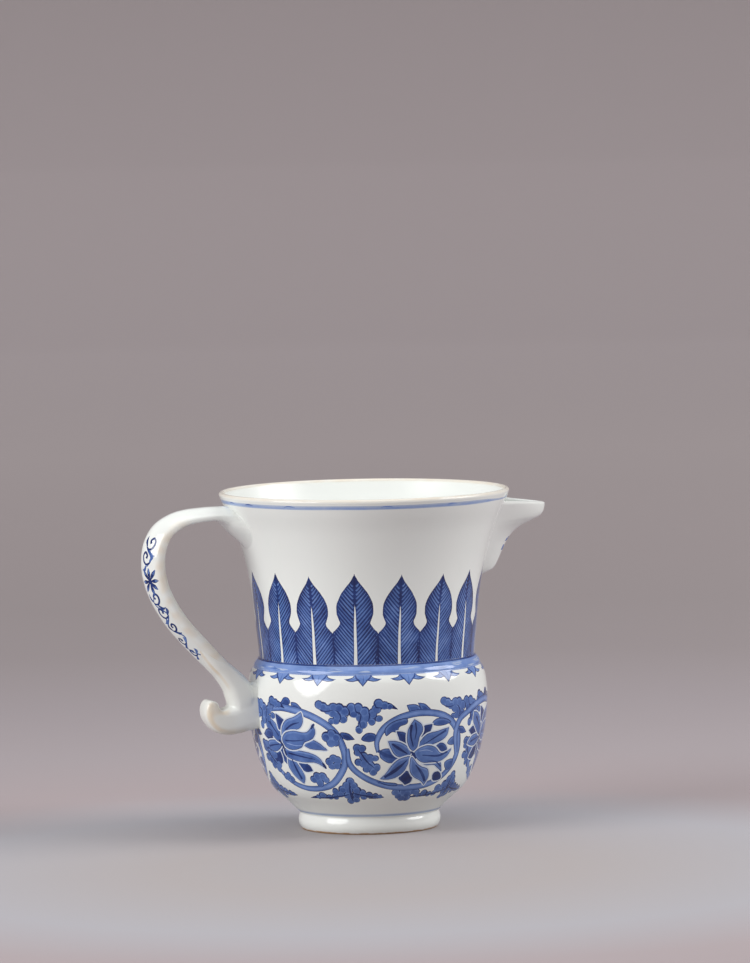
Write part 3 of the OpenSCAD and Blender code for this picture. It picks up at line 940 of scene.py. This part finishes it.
def make_waist():
    knots = [BOWL_KNOTS[-1], (35.1, 51.8), (34.7, 52.5), (34.1, 53.2), (33.5, 53.9)]
    bead = smooth_line(knots, 4)
    place, total = turned_place(bead, NECK_FLAT_R, 0)
    layers = [(LIGHT - 0.1, band(0, total, NECK_PERIOD))]
    for _ in range(90):
        u = hand.uniform(0, NECK_PERIOD)
        reach = hand.uniform(2, 7)
        v = hand.uniform(0.1, 2.2)
        line = [(u, v), (u + reach * 0.5, v + hand.uniform(-0.2, 0.2)), (u + reach, v)]
        widths = [0.1, hand.uniform(0.3, 0.8), 0.1]
        layers += stroke(line, widths, hand.uniform(FAINT, LIGHT + 0.06))
    layers.append((DEEP, band(total - 0.7, total, NECK_PERIOD)))
    skin = painted_skin(place, NECK_PERIOD, 0, total, COLUMNS, layers, 1.0)
    rest = [
        bead[-1], NECK_KNOTS[0], (REBATE_R, NECK_FOOT_Z), (REBATE_R, REBATE_TOP_Z),
        (BORE_R, REBATE_TOP_Z), (BORE_R, SPIGOT_TOP_Z), (SPIGOT_R, SPIGOT_TOP_Z),
        (SPIGOT_R, LEDGE_Z), bead[0],
    ]
    parts = [skin, turned_grid(rest)]
    return build_piece("waist_bead", parts, glaze, ["waist_lute"])


def make_bowl():
    outside = smooth_line(BOWL_KNOTS, 8)
    table = arc_table(outside)
    start = next(s for s, p in zip(table, outside) if p[1] > BOWL_BAND_START_Z)
    place, total = turned_place(outside, BOWL_FLAT_R, start)
    top = total - start
    skin = painted_skin(place, BOWL_PERIOD, -start, top, COLUMNS, bowl_painting(top))
    inside = [p for p in inset_line(outside, [WALL] * len(outside)) if 8.9 < p[1] < 47]
    floor = [(16.6, 7.7), (12.6, 7.4), (0, 7.4)]
    spigot = [(SPIGOT_R, LEDGE_Z), (SPIGOT_R, SPIGOT_TOP_Z), (BORE_R, SPIGOT_TOP_Z), (BORE_R, 50.4)]
    rest = [outside[-1], *spigot, *inside[::-1], *floor]
    under = [(0, BOSS_Z), (BOSS_R, BOSS_Z), (BOSS_R, SEAT_Z), outside[0]]
    parts = [skin, turned_grid(rest), turned_grid(under)]
    return build_piece("bowl_piece", parts, glaze, ["bowl"])


def make_foot():
    outer = [(SEAT_R, 4.8), (21.9, 4), (22.1, 2.8), (21.9, 1.6), (21.3, 0.5), (20.8, 0)]
    inner = [(19.3, 0), (18.7, 0.5), (18.1, 2), (17.6, 4.2)]
    seat = [(BOSS_R, BOSS_Z), (BOSS_R, SEAT_Z), (SEAT_R, SEAT_Z), (SEAT_R, 5.15)]
    profile = smooth_line(outer, 4) + smooth_line(inner, 4) + seat + outer[:1]

    def warm(p):
        ragged = 0.25 * noise.noise(p * 0.4) + 0.12 * noise.noise(p * 1.7)
        return 1 - smoothstep(0.35 + ragged, 0.6 + ragged, p.z)

    nodes = ["foot_ring", "foot_lute"]
    return build_piece("foot_piece", [turned_grid(profile)], foot_glaze, nodes, warm)


# ---- Strap of the handle --------------------------------------------------------------

# Distance from the axis, height, thickness and width. The first ones flare out on the neck.
STRAP_KNOTS = [
    (40.2, 94.6, 15.4, 19.5), (42, 96.9, 11, 15.8), (44, 98.5, 7, 13.8), (46.5, 99.4, 5, 13),
    (49.2, 99.8, 4.1, 12.8), (52, 99.7, 4.1, 12.8), (57.9, 99.1, 4.3, 13), (62.3, 97.6, 4.8, 13),
    (66.2, 94.7, 5.4, 13), (68.5, 90.1, 5.9, 13), (69.1, 84.5, 6.0, 13), (68.2, 78.9, 6.0, 13),
    (65.8, 73, 6.0, 13), (61.7, 66.6, 6.0, 12.8), (57.1, 61.2, 6.0, 12.5), (52.3, 56.1, 5.9, 12),
    (47.4, 51.1, 5.5, 10.5), (44.6, 47.6, 5.4, 9.8),
]
# How far the outer face of the strap falls away at its edges, as a share of its thickness
STRAP_CROWN = 0.55
# The painted stem runs this far beside the middle of the outer face, and winds this much
STEM_SHIFT = 3.3
STEM_SWING = 1.5
# The end of the strap sinks this deep into the neck, and frees itself over this length
ROOT_DEPTH = 0.35
ROOT_REACH = 6.0
STRAP_SIDES = 56


def section_point(turn, w, t, crown, squareness=0.45):
    """A point of the strap's section: across and outwards. turn goes from 0 to 1 and
    starts in the middle of the inner face; the outer face is crowned."""
    a = math.tau * (turn - 0.25)
    c = math.cos(a)
    q = math.sin(a)
    x = w / 2 * math.copysign(abs(c) ** (1 - squareness), c)
    y = t / 2 * math.copysign(abs(q) ** (1 - squareness), q)
    return x, y - crown * (2 * x / w) ** 2 * (0.5 + 0.5 * q)


def even_turns(w, t, crown, count):
    """Turns of the section that are evenly spaced along its edge, and its length."""
    fine = np.linspace(0, 1, 401)
    table = arc_table([section_point(turn, w, t, crown) for turn in fine])
    return np.interp(np.linspace(0, table[-1], count + 1), table, fine), table[-1]


def radius_at(profile, z):
    """Radius of a turned profile at a height."""
    for (ra, za), (rb, zb) in zip(profile, profile[1:]):
        if za <= z <= zb:
            return ra + (rb - ra) * (z - za) / (zb - za)
    return profile[0][0] if z < profile[0][1] else profile[-1][0]


def strap_place(neck_profile):
    """place(u, v) over the strap; u runs round its section and v down from the neck."""
    line = smooth_line(STRAP_KNOTS, 8)
    table = arc_table(line)
    turns, period = even_turns(13, 6, 6 * STRAP_CROWN, 200)
    spots = np.linspace(0, period, len(turns))

    def place(u, v):
        (rho, z, t, w), (dr, dz) = along(line, table, v)
        free = smoothstep(0, 8, v)
        dz *= free
        dr = 1 - (1 - dr) * free
        turn = float(np.interp(u, spots, turns))
        crown = t * STRAP_CROWN * (0.3 + 0.7 * smoothstep(0, 12, v))
        x, y = section_point(turn, w, t, crown, 0.45 * smoothstep(1, 9, v))
        point = Vector((-(rho - y * dz), x, z + y * dr))
        on_neck = radius_at(neck_profile, point.z) - ROOT_DEPTH + v * v / ROOT_REACH
        level = math.sqrt(max(on_neck ** 2 - x * x, 1.0))
        hold = 1 - smoothstep(0, ROOT_REACH, v)
        point.x += (-level - point.x) * hold
        return point, None

    return place, period, table[-1], line, table


def flower(x, y, size):
    """Eight brush-drop petals round a centre, taller than wide."""
    t = []
    for i in range(8):
        a = math.tau * (i + hand.uniform(-0.15, 0.15)) / 8
        reach = size * hand.uniform(0.85, 1.1)
        dx = 0.86 * math.cos(a) * reach
        dy = math.sin(a) * reach
        line = [(x + dx * f, y + dy * f) for f in (0.12, 0.6, 1.0)]
        t += stroke(line, [0.4, 1.2, 0.35], DARK)
        t += stroke(line[1:], [0.7, 0.25], hand.uniform(LIGHT, WASH))
    return t + [(DARK, outline([(x - 0.8, y), (x, y + 0.9), (x + 0.8, y), (x, y - 0.9)]))]


def tendril(x, y, side, size):
    """A curled side shoot that leaves the stem at (x, y), with a small leaf on its back."""
    curl = [(0, 0), (1.6, 0.5), (3, -0.2), (3.4, -1.6), (2.4, -2.5), (1.3, -1.8), (1.7, -1.0)]
    widths = [0.4, 0.6, 0.7, 0.7, 0.65, 0.7, 0.8]
    t = stroke([(x + side * a * size, y + b * size * 1.3) for a, b in curl], widths, DARK)
    leaves = ([(1.6, 0.6), (2.8, 1.9), (4.2, 1.9)], [(0.2, -0.2), (-0.9, -1.4), (-0.8, -2.6)])
    for back in leaves:
        line = [(x + side * a * size, y + b * size * 1.3) for a, b in back]
        t += stroke(line, [0.4, 1.0, 0.15], hand.uniform(LIGHT, DARK))
    return t


def strap_painting(period, at_height):
    """The flower on the side of the strap that is seen, and a winding stem above and below it."""
    mid = period / 2 + STEM_SHIFT
    heart = at_height(80)
    t = []
    for first, last in ((-10.4, -4.2), (5, 31)):
        count = round((last - first) / 1.5)
        ys = [first + (last - first) * i / count for i in range(count + 1)]
        stem = [(mid + STEM_SWING * math.sin(y * 0.72), heart + y) for y in ys]
        t += stroke(stem, [0.3] + [0.5] * (count - 1) + [0.2], WASH)
    for y in (-9.6, -5.4, 6.6, 11.4, 16.4, 21.6, 26.6):
        bend = math.sin(y * 0.72)
        side = 1 if bend < 0 else -1
        t += tendril(mid + STEM_SWING * bend, heart + y, side, 0.86 if y < 14 else 0.66)
    return t + flower(mid + 0.3, heart, 4.3)


def make_strap():
    neck_profile = smooth_line(NECK_KNOTS, 8)
    place, period, total, line, table = strap_place(neck_profile)

    def at_height(z):
        return min((abs(p[1] - z), s) for p, s in zip(line, table) if s > 25)[1]

    painting = strap_painting(period, at_height)
    points, _, faces, inks = painted_skin(place, period, 0, total, STRAP_SIDES, painting, 0.7)
    caps = []
    for v in (0, total):
        ring = [place(period * i / STRAP_SIDES, v)[0] for i in range(STRAP_SIDES)]
        caps.append((ring, None, [tuple(range(STRAP_SIDES))], WHITE))

    def warm(p):
        edge = smoothstep(5.2, 6.2, abs(p.y)) * smoothstep(57, 62, -p.x)
        low = smoothstep(4.8, 5.6, abs(p.y)) * smoothstep(44, 50, -p.x)
        low *= 1 - smoothstep(70, 76, p.z)
        return max(0.0, max(edge, low) * (0.34 + 0.6 * noise.noise(p * 0.35)))

    parts = [(points, None, faces, inks), *caps]
    nodes = ["handle_strap", "handle_upper_lute"]
    return build_piece("handle_strap_piece", parts, glaze, nodes, warm)


# ---- Root and curl of the handle ----------------------------------------------------


def tube(knots, steps, crown=0.0):
    """A closed tube of strap sections through the knots."""
    line = smooth_line(knots, steps)
    sides = 28
    points = []
    faces = []
    for i, (rho, z, t, w) in enumerate(line):
        a = line[max(i - 1, 0)]
        b = line[min(i + 1, len(line) - 1)]
        size = math.dist(a[:2], b[:2])
        dr = (b[0] - a[0]) / size
        dz = (b[1] - a[1]) / size
        for k in range(sides):
            x, y = section_point(k / sides, w, t, crown)
            points.append(Vector((-(rho - y * dz), x, z + y * dr)))
    for i in range(len(line) - 1):
        for k in range(sides):
            j = (k + 1) % sides
            faces.append((i * sides + k, i * sides + j, (i + 1) * sides + j, (i + 1) * sides + k))
    faces.append(tuple(range(sides)))
    faces.append(tuple((len(line) - 1) * sides + k for k in range(sides)))
    return points, faces


def melted(name, tubes, voxel, rounds, hold):
    """The tubes as one smooth body, as wet clay is smoothed together.

    hold(point) moves a point back to where the pot lets it be.
    """
    bm = bmesh.new()
    for points, faces in tubes:
        verts = [bm.verts.new(p * MM) for p in points]
        for f in faces:
            bm.faces.new([verts[i] for i in f])
    bmesh.ops.recalc_face_normals(bm, faces=bm.faces)
    mesh = bpy.data.meshes.new(name)
    bm.to_mesh(mesh)
    bm.free()
    source = bpy.data.objects.new(name, mesh)
    bpy.context.scene.collection.objects.link(source)
    remesh = source.modifiers.new("remesh", "REMESH")
    remesh.mode = "VOXEL"
    remesh.voxel_size = voxel * MM
    smooth = source.modifiers.new("smooth", "SMOOTH")
    smooth.factor = 0.5
    smooth.iterations = rounds
    graph = bpy.context.evaluated_depsgraph_get()
    result = bpy.data.meshes.new_from_object(source.evaluated_get(graph))
    points = [hold(v.co / MM) for v in result.vertices]
    faces = [tuple(f.vertices) for f in result.polygons]
    bpy.data.objects.remove(source)
    bpy.data.meshes.remove(mesh)
    bpy.data.meshes.remove(result)
    return points, None, faces, WHITE


ROOT_TUBES = [
    # the end of the strap, a little inside it higher up
    [(55.8, 60, 4.6, 10.6), (52.3, 56.1, 5.2, 11.2), (49.8, 53.3, 5.6, 11.4), (47.3, 51, 6.2, 11.2),
     (43.9, 47.2, 7.6, 10.8), (42.2, 44.2, 8.6, 10.4), (41.6, 41, 8, 10), (41.4, 38.6, 7.4, 9.6)],
    # the wad of clay against the bowl
    [(34.6, 40.8, 13, 8.8), (38, 41.2, 12, 9), (41, 41.2, 10.8, 9.4), (43, 41.2, 8.6, 9.8)],
    # the curl
    [(34.8, 38.2, 11.8, 9.6), (38, 37.5, 10.6, 9.8), (41.2, 36.4, 9.4, 10), (44.5, 35.5, 8.8, 10),
     (47.9, 35.5, 8, 10), (50.4, 37.1, 6.2, 9.8), (51.2, 39.3, 5.2, 9.2), (51, 41.2, 4, 8.2),
     (50.8, 42, 2.4, 6.6)],
]


def make_root():
    bowl_profile = smooth_line(BOWL_KNOTS, 8)

    def hold(p):
        r = math.hypot(p.x, p.y)
        least = radius_at(bowl_profile, p.z) - 1.1
        if r >= least:
            return p
        share = (least - 0.15 * (least - r)) / r
        return Vector((p.x * share, p.y * share, p.z))

    strap_end, wad, curl = ROOT_TUBES
    tubes = [tube(strap_end, 5, 2.4 * STRAP_CROWN), tube(wad, 5), tube(curl, 5)]
    body = melted("root", tubes, 0.35, 12, hold)

    def warm(p):
        y = abs(p.y)
        ridge = smoothstep(3.2, 4.2, y) * (1 - smoothstep(4.6, 5.0, y)) * smoothstep(45, 47.5, -p.x)
        under = (1 - smoothstep(31.5, 34.2, p.z)) * smoothstep(38, 43, -p.x)
        tinge = 0.16 * smoothstep(43, 47, -p.x)
        return max(0.0, max(ridge, under, tinge) * (0.8 + 0.5 * noise.noise(p * 0.3)))

    nodes = ["handle_curl", "handle_lower_lute"]
    return build_piece("handle_root_and_curl", [body], glaze, nodes, warm)


# ---- Spout ----------------------------------------------------------------------------

KEEL_KNOTS = [
    (34.8, 76.8), (37.4, 77.1), (39.2, 77.8), (41.8, 79), (43.3, 81.2), (45, 84.7), (46.8, 88),
    (49, 90.5), (51.6, 92.2), (54.8, 93.6), (57.9, 95.1), (59.2, 97.6), (59.1, 101.5),
]
BEAK_FOOT_Z = 77.8
BEAK_TOP_Z = 100.9
# Half of the angle that the beak takes up on the neck, at its foot and at its top
BEAK_ANGLES = (8, 31)
BEAK_WALL_ANGLE = 3.2
BEAK_WIDENING = 0.65
BEAK_FROM_X = 39.2
BEAK_DROP = math.tan(math.radians(6))
BEAK_WALL = 2.0
BEAK_BITE = 0.7
# The rows of the beak are level up to this height, and slope with its top above it
LEVEL_UP_TO_Z = 96.5


def beak_point(neck_profile, keel_x, z, across, inner):
    """A point of a level outline of the beak. across goes from -1 to 1, 0 is the keel."""
    r = radius_at(neck_profile, min(z, 103.2)) - BEAK_BITE
    grow = min(max((z - BEAK_FOOT_Z) / (BEAK_TOP_Z - BEAK_FOOT_Z), 0.0), 1.0) ** BEAK_WIDENING
    narrow, wide = BEAK_ANGLES
    a = math.radians(narrow + (wide - narrow) * grow - (BEAK_WALL_ANGLE if inner else 0))
    side = Vector((r * math.cos(a), r * math.sin(a)))
    run = max(keel_x - side.x, 0.0)
    nose = Vector((keel_x, 0))
    nose_pull = nose + Vector((0, 2.6 + 0.08 * run if not inner else 1.5))
    side_pull = side + 0.5 * run * Vector((math.sin(a + 0.21), -math.cos(a + 0.21)))
    t = abs(across)
    p = (1 - t) ** 3 * nose + 3 * (1 - t) ** 2 * t * nose_pull
    p += 3 * (1 - t) * t * t * side_pull + t ** 3 * side
    return Vector((p.x, math.copysign(p.y, across), z))


def beak_surface(neck_profile, keel, half, inner):
    """Rows of points from the foot of the beak to its sloping top."""
    shift = BEAK_WALL if inner else 0.0

    def point(k, z):
        x = radius_at(keel, z - shift) - shift
        return beak_point(neck_profile, x, z, k / half, inner)

    def top_z(k):
        z = 99.0
        for _ in range(12):
            z = BEAK_TOP_Z - BEAK_DROP * (point(k, z).x - BEAK_FROM_X)
        return z

    columns = range(-half, half + 1)
    rows = []
    for x, z in keel:
        if z < LEVEL_UP_TO_Z and z + shift < LEVEL_UP_TO_Z:
            rows.append([
                beak_point(neck_profile, x - shift, z + shift, k / half, inner) for k in columns
            ])
    tops = [top_z(k) for k in columns]
    for step in range(6):
        rows.append([
            point(k, LEVEL_UP_TO_Z + (top - LEVEL_UP_TO_Z) * (step / 5))
            for k, top in zip(columns, tops)
        ])
    return rows


def beak_ink(centre, keel):
    """A small sprig on the front of the beak, with a dab beside each leaf."""
    y = abs(centre.y)
    z = centre.z
    stem = 83.4 < z < 90.6 and y < 0.3
    leaves = any(0 < z - low < 2 and abs(y - z + low) < 0.5 for low in (83.8, 86.4))
    dabs = any(math.dist((y, z), spot) < 0.85 for spot in ((2.7, 85.5), (2.5, 88.2)))
    outside = centre.x > radius_at(keel, z) - 1.4
    return LIGHT if (stem or leaves or dabs) and outside else WHITE


def make_spout():
    neck_profile = smooth_line(NECK_KNOTS, 8)
    keel = smooth_line(KEEL_KNOTS, 6)
    half = 22

    outer = beak_surface(neck_profile, keel, half, False)
    inner = beak_surface(neck_profile, keel, half, True)
    lip = []
    for share, rise in ((0.22, 0.28), (0.5, 0.38), (0.78, 0.28)):
        up = Vector((0, 0, rise))
        lip.append([a.lerp(b, share) + up for a, b in zip(outer[-1], inner[-1])])
    rows = outer + lip + inner[::-1]
    wide = 2 * half + 1
    points = [p for row in rows for p in row]
    faces = []
    for i in range(len(rows)):
        below = i * wide
        above = (i + 1) % len(rows) * wide
        for k in range(wide - 1):
            faces.append((below + k, below + k + 1, above + k + 1, above + k))
    inks = [beak_ink(sum((points[i] for i in f), Vector()) / 4, keel) for f in faces]
    for end in (0, wide - 1):
        faces.append(tuple(i * wide + end for i in range(len(rows))))
        inks.append(WHITE)
    parts = [(points, None, faces, inks)]
    return build_piece("spout_piece", parts, glaze, ["spout", "spout_lute"])


for make in (make_neck, make_waist, make_bowl, make_foot, make_strap, make_root, make_spout):
    make()


# ---- Camera, floor and light --------------------------------------------------------


def make_camera():
    azimuth = math.radians(-18)
    elevation = math.radians(4.2)
    roll = math.radians(1)
    distance = 2.05
    back = Vector((
        math.sin(azimuth) * math.cos(elevation),
        -math.cos(azimuth) * math.cos(elevation),
        math.sin(elevation),
    ))
    right = Vector((math.cos(azimuth), math.sin(azimuth), 0))
    up = back.cross(right)
    aim = Vector((0, 0, 0.1076)) + right * 0.0035
    tilted_right = right * math.cos(roll) - up * math.sin(roll)
    tilted_up = right * math.sin(roll) + up * math.cos(roll)
    data = bpy.data.cameras.new("camera")
    data.lens = 247
    data.sensor_width = 36
    data.clip_start = 0.1
    data.clip_end = 60
    camera = bpy.data.objects.new("camera", data)
    bpy.context.scene.collection.objects.link(camera)
    turn = Matrix((tilted_right, tilted_up, back)).transposed()
    camera.matrix_world = Matrix.Translation(aim + back * distance) @ turn.to_4x4()
    bpy.context.scene.camera = camera


# The floor's colour is painted light and shade in rings, lighter far away where the lamps
# reach less, tuned until its brightness on screen followed the backdrop in the photo:
# (metres from its middle, colour)
FLOOR_MIDDLE = (-0.031, -0.095)
FLOOR_REACH = 5.0
FLOOR_LIGHT_AND_SHADE = [
    (0.0, (0.370, 0.346, 0.348)), (0.06, (0.380, 0.346, 0.342)), (0.14, (0.386, 0.376, 0.401)),
    (0.2, (0.368, 0.310, 0.318)), (0.31, (0.348, 0.306, 0.319)), (0.47, (0.320, 0.281, 0.293)),
    (0.66, (0.298, 0.259, 0.263)), (0.87, (0.316, 0.275, 0.277)), (1.13, (0.365, 0.316, 0.318)),
    (1.81, (0.495, 0.434, 0.434)), (2.88, (0.616, 0.546, 0.551)), (3.57, (0.609, 0.537, 0.542)),
    (3.8, (0.540, 0.475, 0.479)), (5.0, (0.515, 0.453, 0.455)),
]


def make_floor():
    """A pale grey floor that sweeps up far off all round, its light and shade painted in rings."""
    rings = [
        (0.001, 0), (0.5, 0), (1.5, 0), (3, 0), (3.6, 0.12), (4.1, 0.5), (4.4, 1.1), (4.5, 2.5),
    ]
    around = 96
    turns = [math.tau * i / around for i in range(around)]
    bm = bmesh.new()
    rows = [[bm.verts.new((r * math.cos(a), r * math.sin(a), z)) for a in turns] for r, z in rings]
    for low, high in zip(rows, rows[1:]):
        for i in range(around):
            k = (i + 1) % around
            bm.faces.new((low[i], high[i], high[k], low[k])).smooth = True
    bm.faces.new(rows[0])
    mesh = bpy.data.meshes.new("floor")
    bm.to_mesh(mesh)
    bm.free()
    material = bpy.data.materials.new("floor_paper")
    material.use_nodes = True
    tree = material.node_tree
    coords = node(tree, "ShaderNodeTexCoord")
    away = vector_node(tree, "LENGTH", coords.outputs["Object"]).outputs["Value"]
    reach = math_node(tree, "DIVIDE", away, FLOOR_REACH)
    # the floor's colour is painted light and shade, ring by ring
    tone = colour_ramp(tree, reach, [(r / FLOOR_REACH, colour) for r, colour in FLOOR_LIGHT_AND_SHADE])
    looks = {"Base Color": tone, "Roughness": 0.7, "Specular IOR Level": 0.3}
    plug(tree, tree.nodes["Principled BSDF"], looks)
    mesh.materials.append(material)
    floor = bpy.data.objects.new("floor", mesh)
    bpy.context.scene.collection.objects.link(floor)
    floor.location = (*FLOOR_MIDDLE, 0)


def make_light(name, at, size, power, target=(0, 0, 0.05)):
    data = bpy.data.lights.new(name, "AREA")
    data.shape = "DISK"
    data.size = size
    data.energy = power
    light = bpy.data.objects.new(name, data)
    bpy.context.scene.collection.objects.link(light)
    light.location = at
    light.rotation_euler = (Vector(target) - Vector(at)).to_track_quat("-Z", "Y").to_euler()


make_camera()
make_floor()
make_light("softbox_left", (-1.4, -0.35, 0.66), 1.1, 18)
make_light("softbox_right", (1.3, -0.45, 0.85), 1.0, 17)
make_light("softbox_top", (-0.1, -0.2, 1.7), 1.5, 6)

world = bpy.data.worlds.new("studio")
world.use_nodes = True
world.node_tree.nodes["Background"].inputs["Color"].default_value = (0.97, 0.98, 1.0, 1)
world.node_tree.nodes["Background"].inputs["Strength"].default_value = 0.58
bpy.context.scene.world = world
bpy.context.scene.view_settings.view_transform = "Standard"
